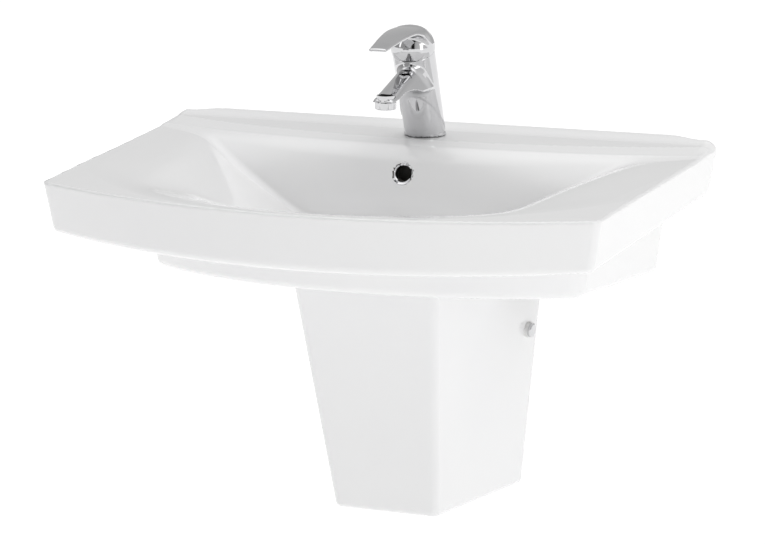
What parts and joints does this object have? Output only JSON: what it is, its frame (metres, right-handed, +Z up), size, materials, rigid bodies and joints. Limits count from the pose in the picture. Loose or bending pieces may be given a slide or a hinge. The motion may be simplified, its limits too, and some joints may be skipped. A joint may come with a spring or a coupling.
{
  "type": "wall-hung washbasin on a semi-pedestal",
  "caption": "White ceramic wall-hung washbasin with a bowed front on a semi-pedestal, with a chrome single-lever mixer tap, overflow and click-clack waste.",
  "frame": {"origin": "on the wall, midway between the two wall bolts", "axes": "+X to the user's right, +Y into the wall, +Z up"},
  "size_m": [0.6994, 0.5934, 0.5932],
  "materials": {
    "glazed_ceramic": "glossy white glaze",
    "chrome": "polished chrome plate",
    "index_red_blue": "satin grey plug",
    "white_plastic": "moulded white plastic",
    "grey_plastic": "moulded grey plastic",
    "brass": "turned brass",
    "steel": "zinc-plated steel",
    "disc_ceramic": "ground alumina",
    "rubber": "matt black rubber"
  },
  "bodies": {
    "washbasin": {"aerator_housing": "chrome", "aerator_insert": "grey_plastic", "aerator_seal": "rubber", "basin": "glazed_ceramic", "bracket_wall_screws": "steel", "cartridge_housing": "grey_plastic", "cartridge_nut": "brass", "fixed_disc": "disc_ceramic", "overflow_ring": "chrome", "pedestal_brackets": "steel", "plug_guide": "grey_plastic", "semi_pedestal": "glazed_ceramic", "side_screw_bushes": "white_plastic", "side_screw_caps": "chrome", "side_screw_nuts": "steel", "side_screws": "steel", "tap_base_seal": "rubber", "tap_body": "chrome", "tap_stud": "steel", "tap_stud_nut": "brass", "tap_stud_plate": "steel", "tap_stud_rubber": "rubber", "trap_body": "chrome", "trap_cup": "chrome", "trap_cup_seal": "rubber", "trap_dip_tube": "white_plastic", "trap_inlet_nut": "chrome", "trap_inlet_seal": "rubber", "trap_outlet_nut": "chrome", "trap_outlet_pipe": "chrome", "trap_outlet_seal": "rubber", "wall_bolt_nuts": "steel", "wall_bolt_sleeves": "white_plastic", "wall_bolt_washers": "steel", "wall_bolts": "steel", "wall_rosette": "chrome", "waste_backnut": "grey_plastic", "waste_body": "chrome", "waste_bottom_seal": "rubber", "waste_top_seal": "rubber"},
    "stem_carrier": {"stem_carrier": "grey_plastic", "stem_pin": "steel"},
    "lever": {"tap_lever": "chrome", "lever_stem": "steel", "index_plug": "index_red_blue", "lever_grub_screw": "steel"},
    "mixing_disc": {"moving_disc": "disc_ceramic"},
    "plug": {"waste_plug": "chrome", "plug_seal": "rubber"}
  },
  "joints": [
    {"name": "temperature_swivel", "type": "hinge", "parent": "washbasin", "child": "stem_carrier", "pos_m": [0, -0.10026, 0.18589], "axis": [0, -0.3875, 0.9219], "range_deg": [-45, 45]},
    {"name": "flow_lift", "type": "hinge", "parent": "stem_carrier", "child": "lever", "pos_m": [0, -0.10026, 0.18589], "axis": [-1, 0, 0], "range_deg": [0, 22]},
    {"name": "disc_slide", "type": "slide", "parent": "stem_carrier", "child": "mixing_disc", "axis": [0, -0.9219, -0.3875], "range_m": [0, 0.0054]},
    {"name": "plug_lift", "type": "slide", "parent": "washbasin", "child": "plug", "axis": [0, 0, 1], "range_m": [0, 0.008]}
  ],
  "couplings": [
    {"joint": "disc_slide", "follows": "flow_lift", "m_per_rad": 0.014}
  ]
}
